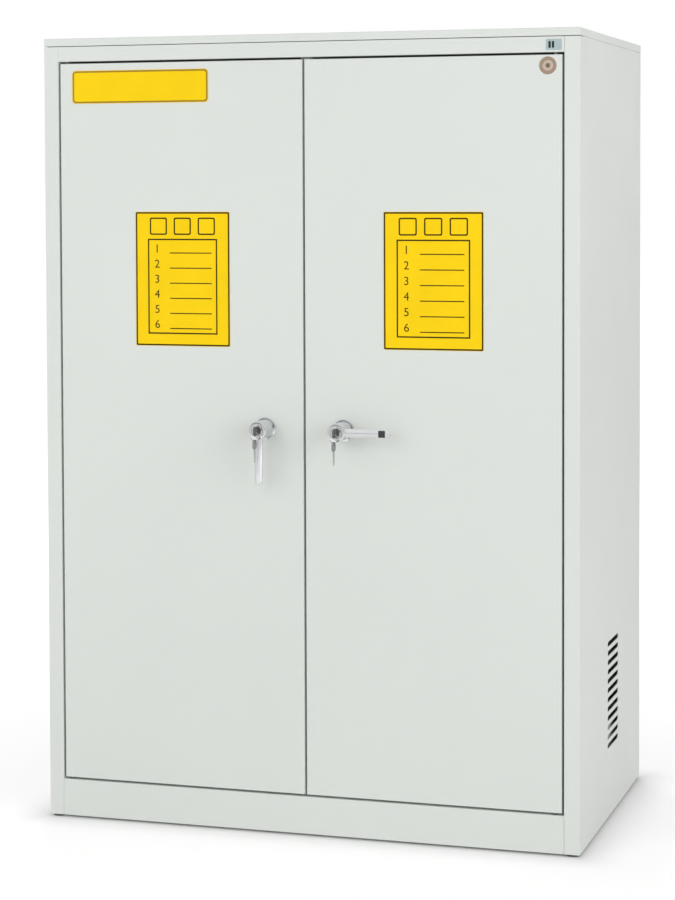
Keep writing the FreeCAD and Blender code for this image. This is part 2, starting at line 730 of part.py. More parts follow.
def door_stiffener(name, side):
    """A hat section, welded to the inside of the door's face by its two feet."""
    middle = side * (middle_gap / 2 + door_width / 2)
    body = new_body(name + "_door_stiffener", middle, front + metal, door_bottom + stiffener_end_gap)
    crown = stiffener_width / 2 - stiffener_slope
    base = stiffener_width / 2
    foot = base + stiffener_foot
    crown_depth = stiffener_depth - metal
    plan = new_sketch(body, "plan", "XY_Plane")
    draw_outline(plan, [(-foot, 0), (-base, 0), (-crown, crown_depth), (crown, crown_depth), (base, 0),
                        (foot, 0), (foot, metal), (base + metal, metal), (crown + metal, stiffener_depth),
                        (-crown - metal, stiffener_depth), (-base - metal, metal), (-foot, metal)])
    pad(body, plan, door_height - 2 * stiffener_end_gap)
    return keep(body)


def pivot_pin_master():
    """A block that sits inside the pan, with a pin that stands out of the door's edge at zero."""
    block = doc.addObject("Part::Box", "pivot_block")
    bind(block, "Length", pivot_block_width)
    bind(block, "Width", pivot_block_depth)
    bind(block, "Height", pivot_block_height)
    place(block, -pivot_block_width / 2, -pivot_block_depth / 2, -metal - pivot_block_height)
    pin = cylinder("pivot_pin", pin_radius, metal + pin_reach)
    place(pin, 0, 0, -metal)
    master = doc.addObject("Part::MultiFuse", "pivot_pin_master")
    master.Shapes = [block, pin]
    return master


def pivot_pins(name, side, master):
    across = side * pivot_across
    return keep(copies(name + "_pivot_pins", master, [(across, pivot_depth, door_top),
                                                      (across, pivot_depth, door_bottom, (1, 0, 0), 180)]))


def lock_case(name, side):
    """An open case on the inside of the face, with a strap that carries the end of the spindle."""
    body = new_body(name + "_lock_case", side * handle_offset, front + metal, handle_height)
    half = case_width / 2
    base = new_sketch(body, "base", "XY_Plane", -case_height / 2)
    draw_outline(base, [(-half, 0), (half, 0), (half, case_depth), (half - case_wall, case_depth),
                        (half - case_wall, case_wall), (case_wall - half, case_wall),
                        (case_wall - half, case_depth), (-half, case_depth)])
    pad(body, base, case_height)
    strap = new_sketch(body, "strap", "XZ_Plane", -case_depth)
    draw_rectangle(strap, case_wall / 2 - half, -strap_height / 2, half - case_wall / 2, strap_height / 2)
    pad(body, strap, case_wall)
    front_hole = new_sketch(body, "front_hole", "XZ_Plane")
    draw_square(front_hole, 0, 0, spindle_hole / 2, spindle_hole / 2)
    through_cut(body, front_hole, 4 * case_wall)
    rear_hole = new_sketch(body, "rear_hole", "XZ_Plane", -case_depth)
    draw_round(rear_hole, 0, 0, spindle_side / 2 + 2 * running)
    through_cut(body, rear_hole, 4 * case_wall)
    return keep(body)


def rod_guide_master():
    body = new_body("rod_guide_master")
    half = guide_width / 2
    plan = new_sketch(body, "plan", "XY_Plane")
    draw_rectangle(plan, -half, metal - rod_plane, half, guide_depth - rod_plane)
    draw_square(plan, 0, 0, rod_width / 2 + running, gear_width / 2 + running)
    pad(body, plan, guide_height)
    return body


def rod_guides(name, side, master):
    upper = side * handle_offset - rod_offset
    lower = side * handle_offset + rod_offset
    return keep(copies(name + "_rod_guides", master, [
        (upper, rod_depth, handle_height + guide_distance),
        (upper, rod_depth, door_top - guide_distance),
        (lower, rod_depth, handle_height - guide_distance),
        (lower, rod_depth, door_bottom + guide_distance)]))


def rosette(name, side):
    body = new_body(name + "_rosette", side * handle_offset, front, handle_height)
    disc = new_sketch(body, "disc", "XZ_Plane")
    draw_round(disc, 0, 0, rosette_radius)
    draw_square(disc, 0, 0, spindle_hole / 2, spindle_hole / 2)
    pad(body, disc, rosette_thickness)
    return keep(body)


def lever_section(body, name, drop, width):
    """Flat back, two upright edges and a ridge along the middle of the front."""
    ridge = lever_drop - hub_face
    rear = ridge + lever_thickness
    section = new_sketch(body, name, "XY_Plane", -drop)
    draw_outline(section, [(-width / 2, rear), (-width / 2, rear - lever_edge), (0, ridge),
                           (width / 2, rear - lever_edge), (width / 2, rear)])
    return section


def lever_handle(name, side):
    """Hub, square spindle and ridged lever in one casting. The lever is drawn pointing down."""
    body = new_body(name + "_lever_handle")
    place(body, side * handle_offset, front, handle_height, (0, 1, 0), LEVER_AT_REST[name])
    base = -(rosette_thickness + play)
    bore = barrel_radius + running
    half = new_sketch(body, "half", "XY_Plane")
    draw_outline(half, [(0, base), (hub_radius, base), (hub_radius, -hub_face), (bore, -hub_face),
                        (bore, barrel_length - hub_face), (0, barrel_length - hub_face)])
    revolve(body, half)
    spindle = new_sketch(body, "spindle", "XZ_Plane", -base)
    draw_rectangle(spindle, -spindle_side / 2, -spindle_side / 2, spindle_side / 2, spindle_side / 2)
    pad(body, spindle, metal + case_depth - 2 * case_wall - base, True)
    journal = new_sketch(body, "journal", "XZ_Plane", -(metal + case_depth - 2 * case_wall))
    draw_circle(journal, 0, 0, spindle_side / 2)
    pad(body, journal, 2 * case_wall, True)
    root = lever_section(body, "lever_root", (bore + hub_radius) / 2, lever_root_width)
    end = lever_section(body, "lever_end", lever_length, lever_end_width)
    lever = body.newObject("PartDesign::AdditiveLoft", body.Label + "_lever")
    lever.Profile = root
    lever.Sections = [end]
    lever.Ruled = True
    body.Tip = lever
    round_edges(body, lever_corner, lambda way, at: abs(way.y) > 0.99 and near(at.z, -lever_length))
    return keep(body)


def lock_pinion(name, side):
    """A wheel with stub teeth on the square spindle. At rest a tooth points at each rack."""
    body = new_body(name + "_lock_pinion", side * handle_offset, rod_depth, handle_height)
    root_radius = pitch_radius - gear_module * DEDENDUM
    tip_radius = pitch_radius + gear_module * ADDENDUM
    blank = new_sketch(body, "blank", "XZ_Plane")
    draw_round(blank, 0, 0, root_radius)
    middle_pad(body, blank, gear_width)
    tooth_shape = new_sketch(body, "tooth", "XZ_Plane")
    foot = tooth_half * FOOT_WIDENING
    foot_radius = pitch_radius - gear_module * FOOT_DROP
    inner = root_radius - gear_module / 2
    tip = tooth_half - gear_module * TIP_NARROWING
    draw_outline(tooth_shape, [(inner, -foot), (foot_radius, -foot), (pitch_radius, -tooth_half),
                               (tip_radius, -tip), (tip_radius, tip), (pitch_radius, tooth_half),
                               (foot_radius, foot), (inner, foot)])
    tooth = middle_pad(body, tooth_shape, gear_width)
    ring = body.newObject("PartDesign::PolarPattern", body.Label + "_teeth")
    ring.Originals = [tooth]
    ring.Axis = (origin_feature(body, "Y_Axis"), [""])
    ring.Angle = 360
    bind(ring, "Occurrences", pinion_teeth)
    body.Tip = ring
    hole = new_sketch(body, "hole", "XZ_Plane")
    half = spindle_side / 2 + running
    draw_rectangle(hole, -half, -half, half, half)
    through_cut(body, hole, 2 * gear_width)
    return keep(body)


def lock_rod(label, side, way, length):
    """A rack and its rod in one. way is 1 for the upper rod and -1 for the lower one, turned half round."""
    body = new_body(label, side * handle_offset, rod_depth, handle_height)
    tip_line = rack_pitch_line - gear_module * ADDENDUM
    back_line = rack_root_line + rack_back
    tooth_pitch = gear_module * PI
    tip = tooth_half - gear_module * ADDENDUM * TAN_PRESSURE
    foot = tooth_half + gear_module * DEDENDUM * TAN_PRESSURE
    low = -tooth_pitch * RACK_TEETH_BELOW - rack_back / 2
    shoulder = tooth_pitch * RACK_TEETH_ABOVE + gear_module
    high = shoulder + rack_shoulder
    points = [(back_line, low), (rack_root_line, low)]
    for i in range(-RACK_TEETH_BELOW, RACK_TEETH_ABOVE):
        middle = tooth_pitch * (i + 0.5)
        points += [(rack_root_line, middle - foot), (tip_line, middle - tip), (tip_line, middle + tip),
                   (rack_root_line, middle + foot)]
    points += [(rack_root_line, shoulder), (rod_offset - rod_width / 2, shoulder),
               (rod_offset - rod_width / 2, high), (back_line, high)]
    face = new_sketch(body, "rack", "XZ_Plane")
    draw_outline(face, [(-way * across, way * up) for across, up in points])
    middle_pad(body, face, gear_width)
    start = shoulder + rack_shoulder / 2
    rod = new_sketch(body, "rod", "XY_Plane", way * start)
    draw_square(rod, -way * rod_offset, 0, rod_width / 2, gear_width / 2)
    pad(body, rod, length - start, way < 0)
    return keep(body)


def lock_barrel(name, side):
    body = new_body(name + "_lock_barrel", side * handle_offset, front - hub_face, handle_height)
    wall = new_sketch(body, "wall", "XZ_Plane", -(barrel_length - play))
    draw_round(wall, 0, 0, barrel_radius)
    draw_round(wall, 0, 0, plug_radius + 2 * running)
    pad(body, wall, barrel_length)
    return keep(body)


def lock_plug(name, side):
    """The turning core, with an upright keyway."""
    body = new_body(name + "_lock_plug", side * handle_offset, front - hub_face, handle_height)
    disc = new_sketch(body, "disc", "XZ_Plane", -(barrel_length - play))
    draw_circle(disc, 0, 0, plug_radius)
    pad(body, disc, barrel_length)
    keyway = new_sketch(body, "keyway", "XZ_Plane", play)
    half_gap = key_thickness / 2 + running
    half_rise = blade_width / 2 + running
    draw_rectangle(keyway, -half_gap, -half_rise, half_gap, half_rise)
    pocket(body, keyway, blade_length + 2 * play)
    return keep(body)


def key(label):
    """A flat key in the YZ plane: its blade points along +Y from the shoulder at zero."""
    body = new_body(label)
    bow = new_sketch(body, "bow", "YZ_Plane")
    bow_middle = -bow_radius
    draw_round(bow, bow_middle, 0, bow_radius, BOW_SIDES)
    middle_pad(body, bow, key_thickness)
    blade = new_sketch(body, "blade", "YZ_Plane")
    half = blade_width / 2
    draw_outline(blade, [(bow_middle, -half), (blade_length - half, -half), (blade_length, 0),
                         (blade_length - half / 2, half), (bow_middle, half)])
    middle_pad(body, blade, key_thickness)
    hole = new_sketch(body, "ring_hole", "YZ_Plane")
    draw_slot(hole, bow_middle - bow_hole_shift, 0, 2 * bow_hole_radius, 2 * bow_hole_radius)
    through_cut(body, hole, 2 * key_thickness)
    notch = new_sketch(body, "notch", "YZ_Plane")
    below = -half - notch_depth
    draw_outline(notch, [(notch_pitch * 2 / 3, below), (notch_pitch * 4 / 3, below),
                         (notch_pitch, notch_depth - half)])
    first_notch = through_cut(body, notch, 2 * key_thickness)
    repeat(body, first_notch, "Y_Axis", notch_pitch * (notch_count - 1), notch_count)
    return body


def keys_and_ring(name, side):
    """One key in the lock, and a spare that hangs from it on a ring."""
    across = side * handle_offset
    inserted = key(name + "_key")
    place(inserted, across, front - hub_face - play, handle_height)
    keep(inserted)
    plane = front - ring_plane - play
    hang = bow_hole_radius - ring_wire * CORNER_OF_SQUARE - play
    ring = new_body(name + "_key_ring", across, plane, handle_height - hang - ring_radius)
    wire = new_sketch(ring, "wire", "XZ_Plane")
    draw_round(wire, 0, 0, ring_radius + ring_wire)
    draw_round(wire, 0, 0, ring_radius - ring_wire)
    middle_pad(ring, wire, 2 * ring_wire)
    keep(ring)
    hole_height = handle_height - 2 * hang - 2 * ring_radius
    spare = key(name + "_spare_key")
    place(spare, across, plane, hole_height - bow_radius - bow_hole_shift, (1, 0, 0), -90)
    keep(spare)


for name, side in SIDES.items():
    side_panel(name, side)
back_panel()
roof_lid()
ceiling_panel()
floor_panel()
door_channel("top_rail", rail_bottom, rail_height, 0)
door_channel("plinth", foot_gap, plinth_height, plinth_height)
rear_base_rail()
centre_post()
centre_partition()
shelf_uprights()
shelf_clips()
for name, side in SIDES.items():
    for level, level_name in enumerate(SHELF_LEVELS):
        tray("%s_%s_shelf" % (name, level_name), side, shelf_height(level), shelf_rim)
    tray(name + "_sump_tray", side, plinth_top, sump_rim)
pivot_bearings()
door_bumpers()
for name, spot in foot_spots().items():
    levelling_foot(name, *spot)

pin_master = pivot_pin_master()
guide_master = rod_guide_master()
for name, side in SIDES.items():
    door_skin(name, side)
    door_stiffener(name, side)
    pivot_pins(name, side, pin_master)
    lock_case(name, side)
    rod_guides(name, side, guide_master)
    rosette(name, side)
    lever_handle(name, side)
    lock_pinion(name, side)
    lock_barrel(name, side)
    lock_plug(name, side)
    keys_and_ring(name, side)
    lock_rod(name + "_upper_rod", side, 1, door_top - rod_tip_gap - handle_height)
    lock_rod(name + "_lower_rod", side, -1, handle_height - rod_tip_gap - door_bottom)

doc.recompute()

for thing in doc.Objects:
    for state in thing.State:
        if state in ("Invalid", "Error"):
            raise RuntimeError("%s failed" % thing.Name)
for before, after in cuts:
    if before.Shape.Volume - after.Shape.Volume < 0.01:
        raise RuntimeError("%s cuts nothing" % after.Name)
for thing in parts:
    if thing.Shape.isNull() or not thing.Shape.isValid():
        raise RuntimeError("%s has no valid shape" % thing.Label)

os.makedirs("parts", exist_ok=True)
for thing in parts:
    thing.Shape.exportStep("parts/%s.step" % thing.Label)
print("%d sub-parts, %d solids" % (len(parts), sum(len(thing.Shape.Solids) for thing in parts)))
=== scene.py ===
import json
import math

import bmesh
import bpy
from mathutils import Matrix, Vector


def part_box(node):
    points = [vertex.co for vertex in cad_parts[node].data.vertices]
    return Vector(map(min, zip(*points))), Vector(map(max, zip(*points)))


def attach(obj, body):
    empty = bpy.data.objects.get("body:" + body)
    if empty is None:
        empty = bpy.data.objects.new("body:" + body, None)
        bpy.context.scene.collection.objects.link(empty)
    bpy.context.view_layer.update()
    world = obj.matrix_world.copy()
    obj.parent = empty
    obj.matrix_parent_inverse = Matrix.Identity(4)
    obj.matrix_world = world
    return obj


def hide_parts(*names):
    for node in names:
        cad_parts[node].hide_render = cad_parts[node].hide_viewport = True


# Looks of a chemical storage cabinet. Metres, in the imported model's frame: the doors face -Y, +Z is up.

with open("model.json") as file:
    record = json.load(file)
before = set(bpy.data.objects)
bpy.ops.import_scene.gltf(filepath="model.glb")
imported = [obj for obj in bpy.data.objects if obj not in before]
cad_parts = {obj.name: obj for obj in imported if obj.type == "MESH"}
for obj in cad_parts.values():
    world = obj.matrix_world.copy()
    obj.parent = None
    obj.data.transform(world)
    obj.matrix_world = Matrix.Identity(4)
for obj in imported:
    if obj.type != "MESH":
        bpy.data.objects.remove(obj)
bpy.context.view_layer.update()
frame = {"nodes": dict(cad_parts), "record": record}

MM = 0.001
SIDES = {"left": -1, "right": 1}
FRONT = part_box("left_door_skin")[0].y


# Material helpers

# Most of a noise texture lies between these values.
NOISE_LOW, NOISE_HIGH = 0.3, 0.7


def link(tree, source, output, target, socket):
    tree.links.new(source.outputs[output], target.inputs[socket])


def node_material(name, colour, metallic, roughness):
    material = bpy.data.materials.new(name)
    material.use_nodes = True
    shader = material.node_tree.nodes["Principled BSDF"]
    shader.inputs["Base Color"].default_value = (*colour, 1)
    shader.inputs["Metallic"].default_value = metallic
    shader.inputs["Roughness"].default_value = roughness
    return material, material.node_tree, shader


def noise(tree, scale, detail, stretch=(1, 1, 1)):
    """A noise texture in the piece's own coordinates. scale is in waves per metre."""
    place = tree.nodes.new("ShaderNodeTexCoord")
    mapping = tree.nodes.new("ShaderNodeMapping")
    mapping.inputs["Scale"].default_value = stretch
    texture = tree.nodes.new("ShaderNodeTexNoise")
    texture.inputs["Scale"].default_value = scale
    texture.inputs["Detail"].default_value = detail
    link(tree, place, "Object", mapping, "Vector")
    link(tree, mapping, "Vector", texture, "Vector")
    return texture


def vary_roughness(tree, shader, texture, low, high):
    """Roughness that follows a texture from low to high."""
    span = tree.nodes.new("ShaderNodeMapRange")
    span.inputs["From Min"].default_value = NOISE_LOW
    span.inputs["From Max"].default_value = NOISE_HIGH
    span.inputs["To Min"].default_value = low
    span.inputs["To Max"].default_value = high
    link(tree, texture, "Fac", span, "Value")
    link(tree, span, "Result", shader, "Roughness")


def vary_colour(tree, shader, texture, dark, light):
    """Colour that follows a texture from dark to light."""
    ramp = tree.nodes.new("ShaderNodeValToRGB")
    for stop, position, colour in zip(ramp.color_ramp.elements, (NOISE_LOW, NOISE_HIGH), (dark, light)):
        stop.position = position
        stop.color = (*colour, 1)
    link(tree, texture, "Fac", ramp, "Fac")
    link(tree, ramp, "Color", shader, "Base Color")


def relief(tree, shader, texture, strength, depth):
    """Fine bumps that follow a texture."""
    bump = tree.nodes.new("ShaderNodeBump")
    bump.inputs["Strength"].default_value = strength
    bump.inputs["Distance"].default_value = depth
    link(tree, texture, "Fac", bump, "Height")
    link(tree, bump, "Normal", shader, "Normal")


def shades(colour, low, high):
    """A colour times two shares, with no channel above 1."""
    return [[min(1, channel * share) for channel in colour] for share in (low, high)]


def powder_coat(name, colour, roughness):
    """Orange peel at about 1.5 mm, with gloss and colour that drift slowly over a panel."""
    material, tree, shader = node_material(name, colour, 0, roughness)
    relief(tree, shader, noise(tree, scale=650, detail=1.5), strength=0.18, depth=0.2 * MM)
    vary_roughness(tree, shader, noise(tree, scale=5, detail=3), roughness - 0.05, roughness + 0.05)
    vary_colour(tree, shader, noise(tree, scale=1.7, detail=2), *shades(colour, 0.985, 1.012))
    shader.inputs["Specular IOR Level"].default_value = 0.45
    return material


def metal_finish(name, dark, light, roughness, scale, bump, stretch=(1, 1, 1)):
    """Bare or plated metal. Its grain has scale waves per metre, stretched where the metal is brushed."""
    material, tree, shader = node_material(name, light, 1, roughness[0])
    grain = noise(tree, scale, detail=4, stretch=stretch)
    vary_roughness(tree, shader, grain, *roughness)
    vary_colour(tree, shader, noise(tree, scale / 6, detail=3), dark, light)
    relief(tree, shader, grain, strength=bump, depth=0.1 * MM)
    return material


def moulded(name, colour, roughness, scale, bump):
    """Plastic or rubber. The mould's fine texture has scale waves per metre."""
    material, tree, shader = node_material(name, colour, 0, roughness)
    relief(tree, shader, noise(tree, scale, detail=2), strength=bump, depth=0.2 * MM)
    vary_roughness(tree, shader, noise(tree, scale=60, detail=3), roughness - 0.06, roughness + 0.06)
    worn = [channel * 1.25 + 0.004 for channel in colour]
    vary_colour(tree, shader, noise(tree, scale=25, detail=3), colour, worn)
    return material


def printed(name, colour, specular):
    """Screen-printed film: an even colour with faint mottling and a satin face."""
    material, tree, shader = node_material(name, colour, 0, 0.45)
    relief(tree, shader, noise(tree, scale=1500, detail=2), strength=0.06, depth=0.1 * MM)
    vary_roughness(tree, shader, noise(tree, scale=40, detail=3), 0.38, 0.52)
    vary_colour(tree, shader, noise(tree, scale=14, detail=3), *shades(colour, 0.965, 1.02))
    shader.inputs["Specular IOR Level"].default_value = specular
    return material


# Materials

GREY = powder_coat("grey_paint", (0.70, 0.735, 0.70), roughness=0.42)
TRAY = powder_coat("tray_paint", (0.66, 0.69, 0.67), roughness=0.45)

ZINC = metal_finish("zinc_plate", dark=(0.52, 0.54, 0.57), light=(0.68, 0.68, 0.66), roughness=(0.28, 0.42),
                    scale=260, bump=0.2)
CHROME = metal_finish("chrome", dark=(0.68, 0.69, 0.70), light=(0.74, 0.75, 0.76), roughness=(0.05, 0.10),
                      scale=180, bump=0.03)
NICKEL = metal_finish("nickel", dark=(0.56, 0.55, 0.52), light=(0.70, 0.69, 0.66), roughness=(0.20, 0.32),
                      scale=900, bump=0.15, stretch=(1, 1, 0.1))
BRASS = metal_finish("brass", dark=(0.42, 0.40, 0.36), light=(0.55, 0.53, 0.48), roughness=(0.20, 0.30),
                     scale=700, bump=0.1, stretch=(1, 0.2, 1))
# Dark metal for the pivot pins: painted shade for the hinge gap they sit in.
PIN_PAINTED_SHADE = metal_finish("pin_painted_shade", dark=(0.20, 0.21, 0.22), light=(0.30, 0.31, 0.32), roughness=(0.45, 0.60),
                   scale=500, bump=0.2)

NYLON = moulded("nylon", (0.022, 0.022, 0.025), roughness=0.42, scale=1400, bump=0.2)
KEY_HEAD = moulded("key_head", (0.080, 0.082, 0.086), roughness=0.48, scale=1400, bump=0.2)
SPARE_HEAD = moulded("spare_key_head", (0.22, 0.22, 0.225), roughness=0.48, scale=1400, bump=0.2)
RUBBER = moulded("rubber", (0.018, 0.018, 0.018), roughness=0.72, scale=900, bump=0.35)
FOOT = moulded("foot_black", (0.060, 0.060, 0.064), roughness=0.50, scale=1100, bump=0.25)

YELLOW = printed("sign_yellow", (0.95, 0.645, 0.005), specular=0.1)
PRINT = printed("sign_print", (0.050, 0.034, 0.006), specular=0.1)
TAG_PRINT = printed("tag_print", (0.020, 0.024, 0.024), specular=0.2)
GOLD = printed("plate_gold", (0.36, 0.22, 0.012), specular=0.3)
COPPER = printed("seal_copper", (0.36, 0.26, 0.19), specular=0.3)
PALE = printed("seal_pale", (0.58, 0.49, 0.40), specular=0.3)
BROWN = printed("seal_brown", (0.17, 0.13, 0.09), specular=0.3)
SILVER = printed("tag_silver", (0.40, 0.50, 0.51), specular=0.4)

BY_SLOT = {"grey_paint": GREY, "tray_paint": TRAY, "zinc_plate": ZINC, "chrome": CHROME, "nickel": NICKEL,
           "brass": BRASS, "nylon": NYLON, "rubber": RUBBER, "foot_black": FOOT}
for entry in frame["record"]["subparts"]:
    for material_slot in frame["nodes"][entry["node"]].material_slots:
        material_slot.material = BY_SLOT[entry["material_slot"]]

# The doors' pivot pins are darker and rougher than the rest of their slot: the dark colour is painted shade
# for the hinge gap they sit in.
for name in SIDES:
    for material_slot in frame["nodes"][name + "_pivot_pins"].material_slots:
        material_slot.material = PIN_PAINTED_SHADE


# Mesh helpers. A shape is a list of vertices and a list of faces.

def make(name, shape, material, body, bevel=0.0, angle=28, smooth=True):
    """A piece that rides on a body, with rounded edges where they are sharper than angle."""
    vertices, faces = shape
    mesh = bpy.data.meshes.new(name)
    mesh.from_pydata([tuple(v) for v in vertices], [], faces)
    mesh.validate()
    shell = bmesh.new()
    shell.from_mesh(mesh)
    bmesh.ops.recalc_face_normals(shell, faces=shell.faces)
    shell.to_mesh(mesh)
    shell.free()
    mesh.materials.append(material)
    piece = bpy.data.objects.new(name, mesh)
    bpy.context.collection.objects.link(piece)
    for polygon in mesh.polygons:
        polygon.use_smooth = smooth
    if bevel:
        edge = piece.modifiers.new("edges", "BEVEL")
        edge.width = bevel
        edge.segments = 2
        edge.limit_method = "ANGLE"
        edge.angle_limit = math.radians(angle)
        edge.harden_normals = True
    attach(piece, body)
    return piece


def at(x, y, z):
    return Matrix.Translation((x, y, z))


def about(axis, degrees):
    return Matrix.Rotation(math.radians(degrees), 4, axis)


def moved(shape, matrix):
    vertices, faces = shape
    return [matrix @ Vector(v) for v in vertices], faces


def joined(shapes):
    """Many shapes as one."""
    vertices, faces = [], []
    for some_vertices, some_faces in shapes:
        base = len(vertices)
        vertices += list(some_vertices)
        faces += [tuple(base + i for i in face) for face in some_faces]
    return vertices, faces


def circle(radius, count):
    return [(radius * math.cos(2 * math.pi * i / count), radius * math.sin(2 * math.pi * i / count))
            for i in range(count)]


def rectangle(width, height):
    """Corner points round zero, anticlockwise."""
    return [(sx * width / 2, sy * height / 2) for sx, sy in ((-1, -1), (1, -1), (1, 1), (-1, 1))]


def rounded(width, height, radius):
    """Points of a rectangle with rounded corners round zero, anticlockwise."""
    steps = 5
    points = []
    for quarter, (sx, sy) in enumerate(((1, -1), (1, 1), (-1, 1), (-1, -1))):
        for step in range(steps + 1):
            angle = math.radians(-90 + 90 * quarter + 90 * step / steps)
            points.append((sx * (width / 2 - radius) + radius * math.cos(angle),
                           sy * (height / 2 - radius) + radius * math.sin(angle)))
    return points


def arc(centre_radius, centre_y, radius, start, end, steps):
    """Points of a rounded edge in a turned profile."""
    points = []
    for step in range(steps + 1):
        angle = math.radians(start + (end - start) * step / steps)
        points.append((centre_radius + radius * math.cos(angle), centre_y + radius * math.sin(angle)))
    return points


def strip(first, second, count):
    """Faces between two closed loops of count vertices each, given the index that each loop starts at."""
    return [(first + i, first + (i + 1) % count, second + (i + 1) % count, second + i) for i in range(count)]


def slab(outline, depth, hole=None):
    """A flat piece in x and z, from y 0 to -depth. A hole has as many points as the outline."""
    count = len(outline)
    vertices = [(x, 0, z) for x, z in outline] + [(x, -depth, z) for x, z in outline]
    faces = strip(0, count, count)
    if hole:
        vertices += [(x, 0, z) for x, z in hole] + [(x, -depth, z) for x, z in hole]
        faces += strip(2 * count, 3 * count, count)
        faces += strip(0, 2 * count, count)
        faces += strip(count, 3 * count, count)
    else:
        faces += [tuple(reversed(range(count))), tuple(range(count, 2 * count))]
    return vertices, faces


def turned(profile, count):
    """A profile of (radius, y) pairs turned about the Y axis. A zero radius closes to a point."""
    vertices, faces, rings = [], [], []
    for radius, y in profile:
        if radius == 0:
            rings.append([len(vertices)])
            vertices.append((0, y, 0))
        else:
            rings.append(list(range(len(vertices), len(vertices) + count)))
            vertices += [(x, y, z) for x, z in circle(radius, count)]
    for first, second in zip(rings, rings[1:]):
        for i in range(count):
            after = (i + 1) % count
            if len(first) == 1:
                faces.append((first[0], second[after], second[i]))
            elif len(second) == 1:
                faces.append((first[i], first[after], second[0]))
            else:
                faces.append((first[i], first[after], second[after], second[i]))
    return vertices, faces


def lofted(rings):
    """A closed skin through rings of as many points, with flat ends."""
    count = len(rings[0])
    vertices = [point for ring in rings for point in ring]
    faces = []
    for k in range(len(rings) - 1):
        faces += strip(k * count, (k + 1) * count, count)
    faces.append(tuple(reversed(range(count))))
    faces.append(tuple(range((len(rings) - 1) * count, len(rings) * count)))
    return vertices, faces


# Signs and plates

# The thickness of a plate and of the ink on it, and the bevel of a plate's edge.
PLATE, INK, PLATE_EDGE = 0.8 * MM, 0.12 * MM, 0.2 * MM

SIGN_X, SIGN_Z = {"left": -0.2640, "right": 0.2735}, 1.1475
SIGN_WIDTH, SIGN_HEIGHT = 208 * MM, 279 * MM
# Three blank fields. FIELD_DROP is from the sign's upper edge to their middles.
FIELD_WIDTH, FIELD_HEIGHT = 38 * MM, 36 * MM
FIELD_PITCH, FIELD_DROP = 53 * MM, 30 * MM
# The frame round the rows. LIST_MARGIN is from the sign's lower edge.
LIST_WIDTH, LIST_HEIGHT, LIST_MARGIN = 153 * MM, 198 * MM, 25 * MM
# A row is a number and a blank line, LINE_DROP under the number's middle. FIRST_ROW_DROP is from the frame's
# upper edge to the first number's middle.
ROWS, ROW_PITCH, FIRST_ROW_DROP = 6, 31.4 * MM, 21.5 * MM
NUMBER_X, NUMBER_HEIGHT = -56 * MM, 17 * MM
LINE_X, LINE_DROP = 18 * MM, 8 * MM
LINE_LENGTH, LINE_HEIGHT = 92 * MM, 2.2 * MM


def ink_frame(width, height, line, radius, inner_radius):
    """A closed printed line of the given outer size, with the radii of its corners outside and inside."""
    hole = rounded(width - 2 * line, height - 2 * line, inner_radius)
    return slab(rounded(width, height, radius), INK, hole)


def ink_number(text, height):
    """A plain number as a thin solid in x and z, its middle at zero."""
    # A digit's height as a share of the font's size.
    digit_share = 0.7
    curve = bpy.data.curves.new("number", "FONT")
    curve.body = text
    curve.size = height / digit_share
    curve.align_x = "CENTER"
    curve.align_y = "CENTER"
    curve.extrude = 0.05 * MM
    curve.resolution_u = 4
    holder = bpy.data.objects.new("number", curve)
    mesh = bpy.data.meshes.new_from_object(holder)
    bpy.data.objects.remove(holder)
    upright = about("X", 90)
    shape = ([upright @ v.co for v in mesh.vertices], [tuple(p.vertices) for p in mesh.polygons])
    bpy.data.meshes.remove(mesh)
    bpy.data.curves.remove(curve)
    return shape


def sign_ink():
    """A border, a row of three blank fields, and a frame round numbered blank lines."""
    ink = [ink_frame(SIGN_WIDTH - 1.6 * MM, SIGN_HEIGHT - 1.6 * MM, line=3.2 * MM, radius=2.5 * MM,
                     inner_radius=1 * MM)]
    list_z = -SIGN_HEIGHT / 2 + LIST_MARGIN + LIST_HEIGHT / 2
    list_frame = ink_frame(LIST_WIDTH, LIST_HEIGHT, line=3 * MM, radius=1 * MM, inner_radius=0.5 * MM)
    ink.append(moved(list_frame, at(0, 0, list_z)))
    field = ink_frame(FIELD_WIDTH, FIELD_HEIGHT, line=3 * MM, radius=4 * MM, inner_radius=2 * MM)
    for k in (-1, 0, 1):
        ink.append(moved(field, at(k * FIELD_PITCH, 0, SIGN_HEIGHT / 2 - FIELD_DROP)))
    for k in range(ROWS):
        z = list_z + LIST_HEIGHT / 2 - FIRST_ROW_DROP - k * ROW_PITCH
        ink.append(moved(ink_number(str(k + 1), NUMBER_HEIGHT), at(NUMBER_X, -INK / 2, z)))
        ink.append(moved(slab(rectangle(LINE_LENGTH, LINE_HEIGHT), INK), at(LINE_X, 0, z - LINE_DROP)))
    return joined(ink)


for name in SIDES:
    body = name + "_door"
    plate = moved(slab(rounded(SIGN_WIDTH, SIGN_HEIGHT, 3 * MM), PLATE), at(SIGN_X[name], FRONT, SIGN_Z))
    make(name + "_sign_plate", plate, YELLOW, body, bevel=PLATE_EDGE)
    ink = moved(sign_ink(), at(SIGN_X[name], FRONT - PLATE, SIGN_Z))
    make(name + "_sign_print", ink, PRINT, body, smooth=False)

NAME_X, NAME_Z = -0.357, 1.5475
NAME_WIDTH, NAME_HEIGHT = 303 * MM, 69 * MM

name_plate = moved(slab(rounded(NAME_WIDTH, NAME_HEIGHT, 8 * MM), PLATE), at(NAME_X, FRONT, NAME_Z))
make("name_plate", name_plate, YELLOW, "left_door", bevel=PLATE_EDGE)
name_border = ink_frame(NAME_WIDTH - 2 * MM, NAME_HEIGHT - 2 * MM, line=3.5 * MM, radius=7.5 * MM,
                        inner_radius=5 * MM)
make("name_plate_border", moved(name_border, at(NAME_X, FRONT - PLATE, NAME_Z)), GOLD, "left_door",
     smooth=False)

